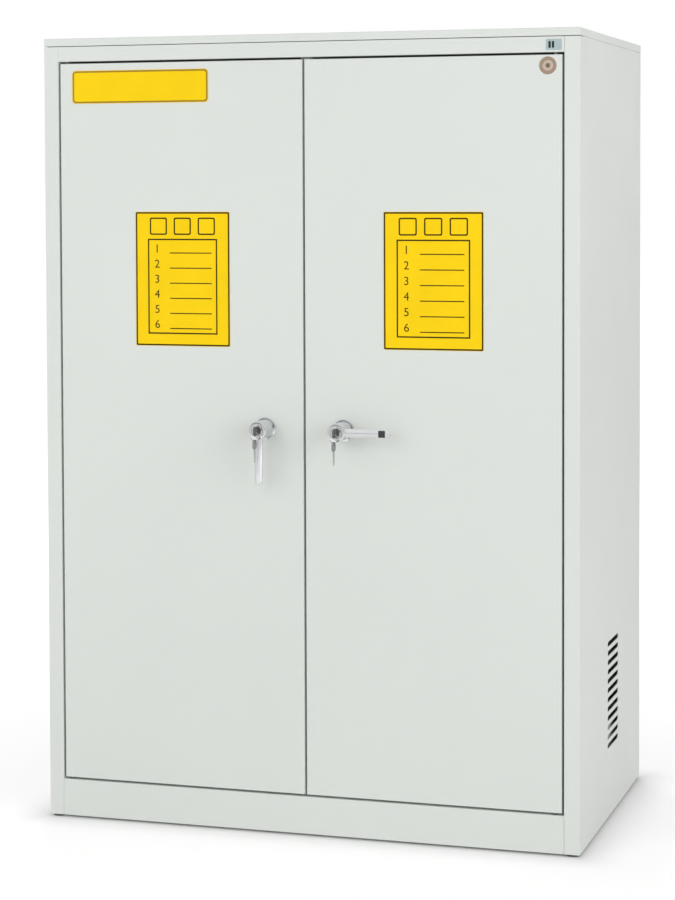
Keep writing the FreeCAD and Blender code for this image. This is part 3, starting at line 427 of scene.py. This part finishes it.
SEAL_X, SEAL_Z = 0.5076, 1.5755
SEAL_RADIUS, SEAL_RIM_RADIUS, SEAL_FACE_RADIUS = 17.5 * MM, 12.6 * MM, 12 * MM
SEAL_RIM, SEAL_FACE = 0.8 * MM, 0.5 * MM
SEAL_RING_INNER, SEAL_RING_OUTER = 5.4 * MM, 10.8 * MM
SEAL_DOT_RADIUS = 3.2 * MM

seal = turned([(0, 0), (SEAL_RADIUS, 0), (SEAL_RADIUS, -SEAL_FACE), (SEAL_RADIUS - 1 * MM, -SEAL_RIM),
               (SEAL_RIM_RADIUS, -SEAL_RIM), (SEAL_FACE_RADIUS, -SEAL_FACE), (0, -SEAL_FACE)], 64)
seal_ring = turned([(SEAL_RING_INNER, 0), (SEAL_RING_OUTER, 0), (SEAL_RING_OUTER, -INK),
                    (SEAL_RING_INNER, -INK), (SEAL_RING_INNER, 0)], 64)
seal_dot = turned([(0, 0), (SEAL_DOT_RADIUS, 0), (SEAL_DOT_RADIUS, -INK), (0, -INK)], 32)
on_seal = at(SEAL_X, FRONT - SEAL_FACE, SEAL_Z)
make("round_seal", moved(seal, at(SEAL_X, FRONT, SEAL_Z)), COPPER, "right_door")
make("round_seal_ring", moved(seal_ring, on_seal), PALE, "right_door")
make("round_seal_dot", moved(seal_dot, on_seal), BROWN, "right_door")

TAG_X, TAG_Z = 0.5196, 1.6165
TAG_WIDTH, TAG_HEIGHT, TAG_THICKNESS = 32 * MM, 22 * MM, 0.6 * MM
BAR_WIDTH, BAR_HEIGHT, BAR_PLACES = 4.6 * MM, 13 * MM, (-8.4 * MM, -1.6 * MM)

tag = slab(rounded(TAG_WIDTH, TAG_HEIGHT, 2 * MM), TAG_THICKNESS)
make("corner_tag", moved(tag, at(TAG_X, FRONT, TAG_Z)), SILVER, "cabinet", bevel=0.15 * MM)
bar = slab(rounded(BAR_WIDTH, BAR_HEIGHT, 0.8 * MM), INK)
bars = joined([moved(bar, at(x, 0, 0)) for x in BAR_PLACES])
make("corner_tag_field", moved(bars, at(TAG_X, FRONT - TAG_THICKNESS, TAG_Z)), TAG_PRINT, "cabinet")


# Levers and their plates. A lever is built hanging down, and LEVER_TURN sets it as in the photo.

HUB_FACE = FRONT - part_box("left_lever_handle")[0].y
HANDLE_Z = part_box("left_rosette")[0].z / 2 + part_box("left_rosette")[1].z / 2
HANDLE_X = 84 * MM
HUB_RADIUS, HUB_BACK, HUB_EDGE = 19 * MM, 4.3 * MM, 2 * MM
GROOVE_RADII, GROOVE_DEPTH = (12 * MM, 11.5 * MM, 10.6 * MM, 10 * MM), 0.5 * MM
LOCK_BORE_RADIUS, LOCK_BORE_DEPTH = 9.2 * MM, 32 * MM
LEVER_LENGTH, LEVER_WIDTH, LEVER_DEPTH = 112 * MM, 17.6 * MM, 9 * MM
LEVER_RIDGE = -HUB_FACE + 3 * MM
LEVER_REAR = LEVER_RIDGE + LEVER_DEPTH
LEVER_TURN = {"left": 0, "right": -90}
# Towards the lever's end: distance from it, loss of width, and how much lower the ridge and edges are.
LEVER_TIP = ((4 * MM, 3 * MM, 0.2 * MM), (1 * MM, 7 * MM, 0.9 * MM), (0, 11 * MM, 2.2 * MM))
SPINDLE_HALF, SPINDLE_END, JOURNAL_END = 4 * MM, 16.8 * MM, 19.8 * MM
ROSETTE_RADIUS, ROSETTE_BORE_RADIUS, ROSETTE_HEIGHT, ROSETTE_EDGE = 23 * MM, 7.5 * MM, 3.9 * MM, 1.6 * MM
INSET_DROP, INSET_SIZE, INSET_DEPTH, INSET_SINK = 95 * MM, 14 * MM, 1.6 * MM, 1.2 * MM


def hub_shape():
    """The hub, with a rounded front edge, a groove round the lock's face and the bore for the lock."""
    profile = [(SPINDLE_HALF, -HUB_BACK), (HUB_RADIUS, -HUB_BACK)]
    profile += arc(HUB_RADIUS - HUB_EDGE, -HUB_FACE + HUB_EDGE, HUB_EDGE, 0, -90, 6)
    groove_depths = (0, GROOVE_DEPTH, GROOVE_DEPTH, 0)
    profile += [(radius, -HUB_FACE + depth) for radius, depth in zip(GROOVE_RADII, groove_depths)]
    profile += [(LOCK_BORE_RADIUS, -HUB_FACE), (LOCK_BORE_RADIUS, -HUB_FACE + LOCK_BORE_DEPTH),
                (0, -HUB_FACE + LOCK_BORE_DEPTH)]
    return turned(profile, 64)


def lever_section(drop, width, edge, lower=0.0):
    """A ring of the lever: flat back, upright edges, and a face that rises to a soft ridge."""
    half = width / 2
    ridge = LEVER_RIDGE + lower
    rear = LEVER_REAR - lower * 0.8
    face = [(half * share, ridge + fall) for share, fall in
            ((-0.55, 1.4 * MM), (-0.14, 0.15 * MM), (0, 0), (0.14, 0.15 * MM), (0.55, 1.4 * MM))]
    outline = [(-half, rear), (-half, rear - edge), *face, (half, rear - edge), (half, rear)]
    return [(x, y, -drop) for x, y in outline]


def lever_shape():
    """The lever from inside the hub to its rounded end."""
    sections = [lever_section(12 * MM, LEVER_WIDTH + 1 * MM, edge=5.6 * MM),
                lever_section(22 * MM, LEVER_WIDTH, edge=5.2 * MM),
                lever_section(LEVER_LENGTH - 9 * MM, LEVER_WIDTH - 1.6 * MM, edge=4.6 * MM)]
    for from_end, narrower, lower in LEVER_TIP:
        edge = 4.4 * MM - lower
        sections.append(lever_section(LEVER_LENGTH - from_end, LEVER_WIDTH - narrower, edge, lower))
    return lofted(sections)


def spindle_shape():
    """The square spindle through the door, with the round journal that ends it."""
    half = SPINDLE_HALF
    square = lofted([[(-half, y, -half), (half, y, -half), (half, y, half), (-half, y, half)]
                     for y in (-HUB_BACK - 0.1 * MM, SPINDLE_END)])
    journal = turned([(0, SPINDLE_END), (half, SPINDLE_END), (half, JOURNAL_END), (0, JOURNAL_END)], 32)
    return joined([square, journal])


def rosette_shape():
    """The round plate behind the hub, with a rounded edge."""
    profile = [(ROSETTE_BORE_RADIUS, 0), (ROSETTE_RADIUS, 0), (ROSETTE_RADIUS, -2 * MM)]
    profile += arc(ROSETTE_RADIUS - ROSETTE_EDGE, ROSETTE_EDGE - ROSETTE_HEIGHT, ROSETTE_EDGE, 0, -90, 5)
    profile += [(ROSETTE_BORE_RADIUS, -ROSETTE_HEIGHT), (ROSETTE_BORE_RADIUS, 0)]
    return turned(profile, 72)


def lever(side_name, place):
    body = side_name + "_handle"
    cast = moved(joined([hub_shape(), lever_shape()]), place)
    piece = make(side_name + "_handle_cast", cast, CHROME, body, bevel=0.5 * MM, angle=40)
    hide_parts(side_name + "_lever_handle")
    spindle = moved(spindle_shape(), place)
    make(side_name + "_spindle", spindle, ZINC, body, bevel=0.25 * MM, angle=40)


def rosette(side_name, place):
    piece = make(side_name + "_handle_plate", moved(rosette_shape(), place), CHROME, side_name + "_door",
                 bevel=0.2 * MM, angle=40)
    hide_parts(side_name + "_rosette")


# Keys and rings. A key lies in the YZ plane, its shoulder at zero and its blade along +Y.

KEY_HALF_HEIGHT, KEY_HALF_THICKNESS = 4 * MM, 1.1 * MM
KEY_SHANK = 12 * MM
KEY_LENGTH = 28 * MM
# Along the cut edge from the shoulder: distance and depth of cut, in millimetres.
KEY_CUTS = ((0, 0), (3.2, 0), (4.6, 1.6), (6.4, 0), (8.6, 0), (10.2, 2), (11.8, 0.8), (13.6, 0.8), (15.4, 2),
            (17.2, 0), (19, 0), (20.8, 1.4), (22.6, 0), (24, 0))
HEAD_Y, HEAD_HALF_LENGTH, HEAD_HALF_HEIGHT = -10 * MM, 9.9 * MM, 9.6 * MM
HEAD_HOLE_Y, HEAD_HOLE_RADIUS = -15 * MM, 3.1 * MM
# From one side of the head to the other: x and the share of the full outline.
HEAD_SECTIONS = ((-2.0 * MM, 0.90), (-1.5 * MM, 0.985), (1.5 * MM, 0.985), (2.0 * MM, 0.90))
KEY_INSET = 0.3 * MM
SPARE_DROP = 20 * MM
RING_RADIUS, RING_WIRE = 9 * MM, 0.42 * MM


def key_blade():
    half = KEY_HALF_HEIGHT
    outline = [(-KEY_SHANK, -half * 0.8)]
    outline += [(along * MM, -half + cut * MM) for along, cut in KEY_CUTS]
    outline += [(KEY_LENGTH, 0), (KEY_LENGTH - 2 * MM, half), (0, half), (-KEY_SHANK, half * 0.8)]
    return lofted([[(x, y, z) for y, z in outline] for x in (-KEY_HALF_THICKNESS, KEY_HALF_THICKNESS)])


def key_head():
    """A moulded head between a circle and a square, with thinner edges and a round hole."""
    count = 48
    outline = []
    for y, z in circle(1, count):
        stretch = (abs(y) ** 3 + abs(z) ** 3) ** (-1 / 3)
        outline.append((HEAD_HALF_LENGTH * y * stretch, HEAD_HALF_HEIGHT * z * stretch))
    vertices = []
    for x, share in HEAD_SECTIONS:
        vertices += [(x, HEAD_Y + y * share, z * share) for y, z in outline]
    for x, _ in HEAD_SECTIONS:
        vertices += [(x, HEAD_HOLE_Y + y, z) for y, z in circle(HEAD_HOLE_RADIUS, count)]
    sections = len(HEAD_SECTIONS)
    faces = []
    for k in range(sections - 1):
        faces += strip(k * count, (k + 1) * count, count)
        faces += strip((sections + k) * count, (sections + k + 1) * count, count)
    for k in (0, sections - 1):
        faces += strip(k * count, (sections + k) * count, count)
    return vertices, faces


def key(node, place, head_material):
    blade = moved(key_blade(), place)
    piece = make(node + "_blade", blade, NICKEL, node, bevel=0.15 * MM, angle=20)
    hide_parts(node)
    head = moved(key_head(), place)
    make(node + "_head", head, head_material, node, bevel=0.2 * MM, angle=40)


def split_ring(name, centre):
    """Nearly two turns of round wire side by side, with a short step from one to the other."""
    sides = 10
    # In degrees: the wire's ends and the pitch of its sections, then the step's place and length.
    start, end, pitch = 200, 888, 4
    step_start, step_length = 530, 30
    rings = []
    for angle in range(start, end + 1, pitch):
        share = min(1, max(0, (angle - step_start) / step_length))
        offset = RING_WIRE * (2 * share * share * (3 - 2 * share) - 1)
        along = math.radians(angle)
        ring = []
        for out, aside in circle(RING_WIRE, sides):
            reach = RING_RADIUS + out
            ring.append((reach * math.cos(along), offset + aside, reach * math.sin(along)))
        rings.append(ring)
    wire = moved(lofted(rings), at(*centre))
    piece = make(name + "_split_ring", wire, NICKEL, name + "_key_ring")
    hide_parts(name + "_key_ring")


for name, side in SIDES.items():
    x = side * HANDLE_X
    lever(name, at(x, FRONT, HANDLE_Z) @ about("Y", LEVER_TURN[name]))
    rosette(name, at(x, FRONT, HANDLE_Z))
    key(name + "_key", at(x, FRONT - HUB_FACE - KEY_INSET, HANDLE_Z), KEY_HEAD)
    low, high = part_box(name + "_key_ring")
    split_ring(name, (low + high) / 2)
    low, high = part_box(name + "_spare_key")
    key(name + "_spare_key", at(x, (low.y + high.y) / 2, high.z - SPARE_DROP) @ about("X", -90), SPARE_HEAD)

inset = slab(rounded(INSET_SIZE, INSET_SIZE, 1.5 * MM), INSET_DEPTH)
inset_place = (at(HANDLE_X, FRONT, HANDLE_Z) @ about("Y", LEVER_TURN["right"])
               @ at(0, LEVER_RIDGE + INSET_SINK, -INSET_DROP))
make("lever_inset", moved(inset, inset_place), NYLON, "right_handle", bevel=0.3 * MM)


# Spot welds, screws and weld nuts

# A low dome: share of the radius and share of the rise.
STUD_PROFILE = ((0, 1), (0.5, 0.92), (0.85, 0.55), (1, 0.1))
FLANGE_WELDS, FLANGE_WELD_Z, FLANGE_WELD_PITCH, FLANGE_WELD_INSET = 8, 0.16, 0.19, 13 * MM
STIFFENER_WELDS, STIFFENER_WELD_MARGIN, STIFFENER_WELD_INSET = 12, 0.04, 7 * MM
STIFFENER_SHEET, CASE_SHEET = 1.2 * MM, 1.5 * MM
CASE_SCREW_X, CASE_SCREW_Z = 12 * MM, 25 * MM
NUT_RADIUS, NUT_HEIGHT, NUT_Z = 9.5 * MM, 8 * MM, 6.3 * MM


def studs(name, places, radius, rise, material, body):
    """Low domed heads on surfaces that face the rear. Each place is a point on the surface."""
    profile = [(radius * across, -rise * height) for across, height in STUD_PROFILE]
    head = moved(turned([*profile, (radius, 0.2 * MM)], 20), about("Z", 180))
    make(name, joined([moved(head, at(*place)) for place in places]), material, body)


def hex_prism(radius, height):
    """A nut's body with slightly narrower ends."""
    edge = 0.6 * MM
    rings = []
    for z, share in ((0, 0.94), (edge, 1), (height - edge, 1), (height, 0.94)):
        rings.append([(x, y, z) for x, y in circle(radius * share, 6)])
    return lofted(rings)


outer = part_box("side_panel_right")[1]
spots = [(side * (outer.x - FLANGE_WELD_INSET), outer.y, FLANGE_WELD_Z + FLANGE_WELD_PITCH * k)
         for side in (-1, 1) for k in range(FLANGE_WELDS)]
studs("rear_flange_welds", spots, 3 * MM, 0.25 * MM, GREY, "cabinet")

for name, side in SIDES.items():
    body = name + "_door"
    low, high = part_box(name + "_door_stiffener")
    run = high.z - low.z - 2 * STIFFENER_WELD_MARGIN
    columns = (low.x + STIFFENER_WELD_INSET, high.x - STIFFENER_WELD_INSET)
    spots = [(x, low.y + STIFFENER_SHEET, low.z + STIFFENER_WELD_MARGIN + run * k / (STIFFENER_WELDS - 1))
             for k in range(STIFFENER_WELDS) for x in columns]
    studs(name + "_stiffener_welds", spots, 2.6 * MM, 0.25 * MM, GREY, body)
    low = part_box(name + "_lock_case")[0]
    spots = [(side * HANDLE_X + i * CASE_SCREW_X, low.y + CASE_SHEET, HANDLE_Z + j * CASE_SCREW_Z)
             for i in (-1, 1) for j in (-1, 1)]
    studs(name + "_case_screws", spots, 3 * MM, 1.6 * MM, ZINC, body)

nuts = []
for corner in ("front_left", "rear_left", "front_right", "rear_right"):
    low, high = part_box("foot_" + corner)
    centre = (low + high) / 2
    nuts.append(moved(hex_prism(NUT_RADIUS, NUT_HEIGHT), at(centre.x, centre.y, NUT_Z)))
make("foot_weld_nuts", joined(nuts), ZINC, "cabinet", bevel=0.3 * MM)


# Node helpers for the floor and the room

def math_node(tree, operation, *values):
    """A math node. Each value is a number, or a node with the name of its output."""
    node = tree.nodes.new("ShaderNodeMath")
    node.operation = operation
    for socket, value in enumerate(values):
        if isinstance(value, tuple):
            link(tree, *value, node, socket)
        else:
            node.inputs[socket].default_value = value
    return node


def background(tree, colour, strength):
    node = tree.nodes.new("ShaderNodeBackground")
    node.inputs["Color"].default_value = (*colour, 1)
    node.inputs["Strength"].default_value = strength
    return node


def mixed(tree, factor, output, first, second):
    mix = tree.nodes.new("ShaderNodeMixShader")
    link(tree, factor, output, mix, "Fac")
    link(tree, first, 0, mix, 1)
    link(tree, second, 0, mix, 2)
    return mix


# Floor

# Brightness that the camera sees added to the floor, by distance from the cabinet's footprint in metres. Its
# fall to nothing within 9 cm of the footprint paints a soft shadow there, added to the cabinet's real shadow.
GLOW_AND_PAINTED_SHADOW_BY_DISTANCE = ((0, 0), (0.015, 0.09), (0.045, 0.20), (0.09, 0.28), (0.6, 0.32), (3.2, 0.52))
MIRROR_GLOW = 0.2
FLOOR_SIZE = 80


def distance_outside(tree, middle, half_size):
    """Distance of a point from a box, as a node whose output is Value."""
    source, output = tree.nodes.new("ShaderNodeNewGeometry"), "Position"
    for operation, second in (("SUBTRACT", middle), ("ABSOLUTE", None), ("SUBTRACT", half_size),
                              ("MAXIMUM", (0, 0, 0)), ("LENGTH", None)):
        step = tree.nodes.new("ShaderNodeVectorMath")
        step.operation = operation
        link(tree, source, output, step, 0)
        if second:
            step.inputs[1].default_value = second
        source, output = step, "Vector"
    return source


def floor_material(name, middle, half_size):
    """Pale floor that the camera and polished metal see brighter, least by the cabinet, which keeps its real
    shadow and paints a soft shadow round its footprint.
    """
    material, tree, shader = node_material(name, (0.88, 0.88, 0.88), 0, 0.9)
    reach = GLOW_AND_PAINTED_SHADOW_BY_DISTANCE[-1][0]
    distance = math_node(tree, "DIVIDE", (distance_outside(tree, middle, half_size), "Value"), reach)
    # This ramp paints a soft shadow on the floor round the cabinet's footprint.
    glow_with_painted_shadow = tree.nodes.new("ShaderNodeValToRGB")
    stops = glow_with_painted_shadow.color_ramp.elements
    while len(stops) < len(GLOW_AND_PAINTED_SHADOW_BY_DISTANCE):
        stops.new(0.5)
    for stop, (metres, level) in zip(stops, GLOW_AND_PAINTED_SHADOW_BY_DISTANCE):
        stop.position = metres / reach
        stop.color = (level, level, level, 1)
    link(tree, distance, "Value", glow_with_painted_shadow, "Fac")
    path = tree.nodes.new("ShaderNodeLightPath")
    to_camera = math_node(tree, "MULTIPLY", (path, "Is Camera Ray"), (glow_with_painted_shadow, "Color"))
    to_mirror = math_node(tree, "MULTIPLY", (path, "Is Glossy Ray"), MIRROR_GLOW)
    brighter = math_node(tree, "MAXIMUM", (to_camera, "Value"), (to_mirror, "Value"))
    glow = tree.nodes.new("ShaderNodeEmission")
    glow.inputs["Color"].default_value = (1, 1, 1, 1)
    link(tree, brighter, "Value", glow, "Strength")
    both = tree.nodes.new("ShaderNodeAddShader")
    link(tree, shader, "BSDF", both, 0)
    link(tree, glow, "Emission", both, 1)
    link(tree, both, "Shader", tree.nodes["Material Output"], "Surface")
    return material


bpy.ops.mesh.primitive_plane_add(size=FLOOR_SIZE, location=(0, 0, 0))
floor = bpy.context.object
floor.name = "studio_floor"
floor.data.materials.append(floor_material("studio_floor", middle=(0, (FRONT + outer.y) / 2, 0),
                                           half_size=(outer.x, (outer.y - FRONT) / 2, 0)))


# Room: white to the camera, even grey light for paint, and for polished metal a dark doorway in the far wall
# that the doors face, with bright walls and ceiling round it.

EVEN_LIGHT, MIRROR_WALLS, MIRROR_DOORWAY = 0.56, 0.97, 0.42
# The doorway's edges, from dark to bright: height of the view's direction, and how far it turns from -Y.
DOORWAY_EDGES = (("Z", 0.14, 0.34), ("Y", -0.90, -0.62))

world = bpy.data.worlds.new("studio")
bpy.context.scene.world = world
world.use_nodes = True
tree = world.node_tree
even = tree.nodes["Background"]
even.inputs["Color"].default_value = (1, 1, 1, 1)
even.inputs["Strength"].default_value = EVEN_LIGHT
path = tree.nodes.new("ShaderNodeLightPath")
direction = tree.nodes.new("ShaderNodeTexCoord")
parts = tree.nodes.new("ShaderNodeSeparateXYZ")
link(tree, direction, "Generated", parts, "Vector")
edges = []
for axis, dark, bright in DOORWAY_EDGES:
    edge = tree.nodes.new("ShaderNodeMapRange")
    edge.inputs["From Min"].default_value = dark
    edge.inputs["From Max"].default_value = bright
    link(tree, parts, axis, edge, "Value")
    edges.append((edge, "Result"))
outside_doorway = math_node(tree, "MAXIMUM", *edges)
mirrored = mixed(tree, outside_doorway, "Value", background(tree, (0.62, 0.64, 0.66), MIRROR_DOORWAY),
                 background(tree, (1, 1, 1), MIRROR_WALLS))
seen = mixed(tree, path, "Is Glossy Ray", even, mirrored)
whole = mixed(tree, path, "Is Camera Ray", seen, background(tree, (1, 1, 1), 1))
link(tree, whole, "Shader", tree.nodes["World Output"], "Surface")


# Lights and camera

def facing(place, target):
    """Rotation that points an object's -Z from place at target."""
    return (Vector(target) - Vector(place)).to_track_quat("-Z", "Y").to_euler()


def softbox(name, place, target, size, power, colour=(1, 1, 1)):
    light = bpy.data.lights.new(name, "AREA")
    light.shape = "RECTANGLE"
    light.size, light.size_y = size
    light.energy = power
    light.color = colour
    lamp = bpy.data.objects.new(name, light)
    lamp.visible_glossy = False
    bpy.context.collection.objects.link(lamp)
    lamp.location = place
    lamp.rotation_euler = facing(place, target)


softbox("key", (-1.8, -4.6, 2.3), target=(0, 0, 0.6), size=(4.6, 3.6), power=78)
softbox("fill", (4.4, -2.8, 1.8), target=(0.3, 0, 0.6), size=(3.4, 3.0), power=83, colour=(1, 0.965, 0.98))
softbox("rear", (-1.5, 4.5, 3.6), target=(0, 0, 0.9), size=(2.6, 2.0), power=60)

# The camera's place and turns in degrees come from a fit to the photo's corners and seams.
CAMERA_X, CAMERA_Y, CAMERA_Z = 1.5097, FRONT - 4.6562, 1.3414
CAMERA_PAN, CAMERA_DIP, CAMERA_ROLL = 17.160, 2.460, -0.197

lens_data = bpy.data.cameras.new("camera")
lens_data.sensor_width = 36
lens_data.lens = 95.96
lens_data.shift_y = -0.18
camera = bpy.data.objects.new("camera", lens_data)
bpy.context.collection.objects.link(camera)
camera.matrix_world = (at(CAMERA_X, CAMERA_Y, CAMERA_Z) @ about("Z", CAMERA_PAN)
                       @ about("X", 90 - CAMERA_DIP) @ about("Z", CAMERA_ROLL))
bpy.context.scene.camera = camera
bpy.context.scene.view_settings.view_transform = "Standard"
